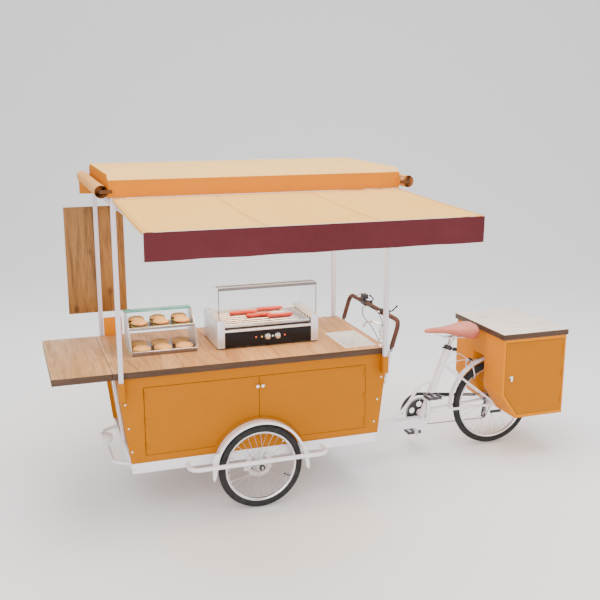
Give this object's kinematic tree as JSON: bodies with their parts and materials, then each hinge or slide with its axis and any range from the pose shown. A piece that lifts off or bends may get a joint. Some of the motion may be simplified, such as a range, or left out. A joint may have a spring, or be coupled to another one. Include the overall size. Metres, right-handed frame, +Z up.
{
  "type": "pedal vending cart",
  "caption": "Pedal tricycle vending cart: wheeled cabinet with worktop, sink, roller grill, canopy with two awnings and a rear cycle with a storage box.",
  "frame": {"origin": "centre of the bounding box's footprint on the ground", "axes": "+X towards the rider's end (travel is -X), +Y to the far side from the serving side, +Z up"},
  "size_m": [3.308, 2.83, 1.967],
  "materials": {
    "orange_panel": "painted board, satin",
    "roof_cover": "coated canvas",
    "white_steel": "gloss",
    "wood_laminate": "satin, streaked",
    "oak": "matt, streaked",
    "stainless": "brushed",
    "chrome": "polished",
    "black_metal": "satin",
    "black_plastic": "matt",
    "tyre": "matt",
    "alloy": "satin",
    "leather": "satin",
    "awning_fabric": "woven",
    "blind_fabric": "woven",
    "glass": "clear",
    "food": "matt",
    "tank": "translucent white",
    "lamp": "gloss"
  },
  "bodies": {
    "cart": {"chassis_frame": "white_steel", "near_side_panel": "orange_panel", "cabinet_shell": "orange_panel", "worktop": "wood_laminate", "sink_basin": "stainless", "faucet_body": "chrome", "water_tanks": "tank", "splash_guard": "orange_panel", "canopy_frame": "white_steel", "post_sockets": "orange_panel", "canopy_roof": "roof_cover", "near_awning_cloth": "awning_fabric", "far_awning_cloth": "awning_fabric", "sign_board": "oak", "handlebar": "black_metal", "handlebar_wrap": "leather", "bar_controls": "black_plastic", "brake_cables": "black_plastic", "guard_rails": "white_steel", "headlamp": "lamp", "front_fenders": "white_steel", "brake_calipers": "black_metal", "grill_body": "stainless", "grill_rollers": "chrome", "display_stand": "chrome", "display_food": "food"},
    "front_near_wheel": {"near_tyre": "tyre", "near_wheel": "alloy"},
    "front_far_wheel": {"far_tyre": "tyre", "far_wheel": "alloy"},
    "rear_cycle": {"rear_frame": "white_steel", "drive_chain": "black_metal", "derailleur": "black_metal", "chain_guard": "black_plastic", "rear_fender": "white_steel", "rear_brake": "black_metal", "rear_box": "orange_panel", "rear_box_lid": "wood_laminate"},
    "back_wheel": {"rear_tyre": "tyre", "rear_wheel": "alloy"},
    "seat": {"seat_post": "alloy", "saddle": "leather"},
    "crank": {"crankset": "alloy"},
    "near_pedal": {"near_pedal": "black_plastic"},
    "far_pedal": {"far_pedal": "black_plastic"},
    "near_door_front": {"near_door_front": "orange_panel"},
    "near_door_rear": {"near_door_rear": "orange_panel"},
    "drop_leaf": {"drop_leaf": "wood_laminate"},
    "faucet_spout": {"faucet_spout": "chrome"},
    "front_blind": {"front_blind": "blind_fabric"},
    "rear_blind": {"rear_blind": "blind_fabric"},
    "near_awning_bar": {"near_awning_bar": "awning_fabric"},
    "far_awning_bar": {"far_awning_bar": "awning_fabric"},
    "near_brake_lever": {"near_brake_lever": "black_metal"},
    "far_brake_lever": {"far_brake_lever": "black_metal"},
    "rear_box_door": {"rear_box_door": "orange_panel"},
    "rear_box_latch": {"rear_box_latch": "chrome"},
    "grill_hood": {"grill_hood": "glass"},
    "grill_knob_left": {"grill_knob_left": "black_plastic"},
    "grill_knob_right": {"grill_knob_right": "black_plastic"}
  },
  "joints": [
    {"name": "steering", "type": "hinge", "parent": "cart", "child": "rear_cycle", "pos_m": [0.06, 0, 0.215], "axis": [0, 0, 1], "range_deg": [-30, 30]},
    {"name": "near_wheel_spin", "type": "hinge", "parent": "cart", "child": "front_near_wheel", "pos_m": [-0.509, -0.441, 0.254], "axis": [0, 1, 0], "continuous": true},
    {"name": "far_wheel_spin", "type": "hinge", "parent": "cart", "child": "front_far_wheel", "pos_m": [-0.509, 0.441, 0.254], "axis": [0, 1, 0], "continuous": true},
    {"name": "rear_wheel_spin", "type": "hinge", "parent": "rear_cycle", "child": "back_wheel", "pos_m": [1.292, 0, 0.297], "axis": [0, 1, 0], "continuous": true},
    {"name": "crank_spin", "type": "hinge", "parent": "rear_cycle", "child": "crank", "pos_m": [0.761, 0, 0.265], "axis": [0, 1, 0], "continuous": true},
    {"name": "near_pedal_spin", "type": "hinge", "parent": "crank", "child": "near_pedal", "pos_m": [0.761, -0.135, 0.435], "axis": [0, 1, 0], "continuous": true},
    {"name": "far_pedal_spin", "type": "hinge", "parent": "crank", "child": "far_pedal", "pos_m": [0.761, 0.135, 0.095], "axis": [0, 1, 0], "continuous": true},
    {"name": "seat_height", "type": "slide", "parent": "rear_cycle", "child": "seat", "axis": [0.354, 0, 0.9352], "range_m": [-0.03, 0.12]},
    {"name": "near_door_front_hinge", "type": "hinge", "parent": "cart", "child": "near_door_front", "pos_m": [-1.159, -0.398, 0.59], "axis": [0, 0, -1], "range_deg": [0, 105]},
    {"name": "near_door_rear_hinge", "type": "hinge", "parent": "cart", "child": "near_door_rear", "pos_m": [0.162, -0.398, 0.59], "axis": [0, 0, 1], "range_deg": [0, 105]},
    {"name": "drop_leaf_fold", "type": "hinge", "parent": "cart", "child": "drop_leaf", "pos_m": [-1.331, 0, 0.853], "axis": [0, -1, 0], "range_deg": [0, 90]},
    {"name": "faucet_swivel", "type": "hinge", "parent": "cart", "child": "faucet_spout", "pos_m": [0.276, -0.372, 0.99], "axis": [0, 0, 1], "range_deg": [-45, 45]},
    {"name": "front_blind_roll", "type": "hinge", "parent": "cart", "child": "front_blind", "pos_m": [-1.352, 0, 1.886], "axis": [0, 1, 0], "continuous": true},
    {"name": "rear_blind_roll", "type": "hinge", "parent": "cart", "child": "rear_blind", "pos_m": [0.372, 0, 1.886], "axis": [0, 1, 0], "continuous": true},
    {"name": "near_awning_slide", "type": "slide", "parent": "cart", "child": "near_awning_bar", "axis": [0, 1, 0], "range_m": [0, 0.77], "deforming": ["near_awning_cloth"]},
    {"name": "far_awning_slide", "type": "slide", "parent": "cart", "child": "far_awning_bar", "axis": [0, -1, 0], "range_m": [0, 0.77], "deforming": ["far_awning_cloth"]},
    {"name": "near_brake_squeeze", "type": "hinge", "parent": "cart", "child": "near_brake_lever", "pos_m": [0.425, -0.138, 1.041], "axis": [0, 0, -1], "range_deg": [0, 15], "stiffness_Nm_per_rad": 0.6},
    {"name": "far_brake_squeeze", "type": "hinge", "parent": "cart", "child": "far_brake_lever", "pos_m": [0.425, 0.126, 1.041], "axis": [0, 0, 1], "range_deg": [0, 15], "stiffness_Nm_per_rad": 0.6},
    {"name": "rear_box_door_hinge", "type": "hinge", "parent": "rear_cycle", "child": "rear_box_door", "pos_m": [1.628, -0.313, 0.56], "axis": [0, 0, 1], "range_deg": [0, 105]},
    {"name": "rear_latch_turn", "type": "hinge", "parent": "rear_box_door", "child": "rear_box_latch", "pos_m": [1.236, -0.31, 0.571], "axis": [0, -1, 0], "range_deg": [0, 90]},
    {"name": "grill_hood_lift", "type": "hinge", "parent": "cart", "child": "grill_hood", "pos_m": [-0.365, 0.19, 1.069], "axis": [-1, 0, 0], "range_deg": [0, 75]},
    {"name": "grill_knob_left_turn", "type": "hinge", "parent": "cart", "child": "grill_knob_left", "pos_m": [-0.37, -0.15, 0.949], "axis": [0, -1, 0], "range_deg": [0, 270]},
    {"name": "grill_knob_right_turn", "type": "hinge", "parent": "cart", "child": "grill_knob_right", "pos_m": [-0.307, -0.15, 0.949], "axis": [0, -1, 0], "range_deg": [0, 270]}
  ]
}
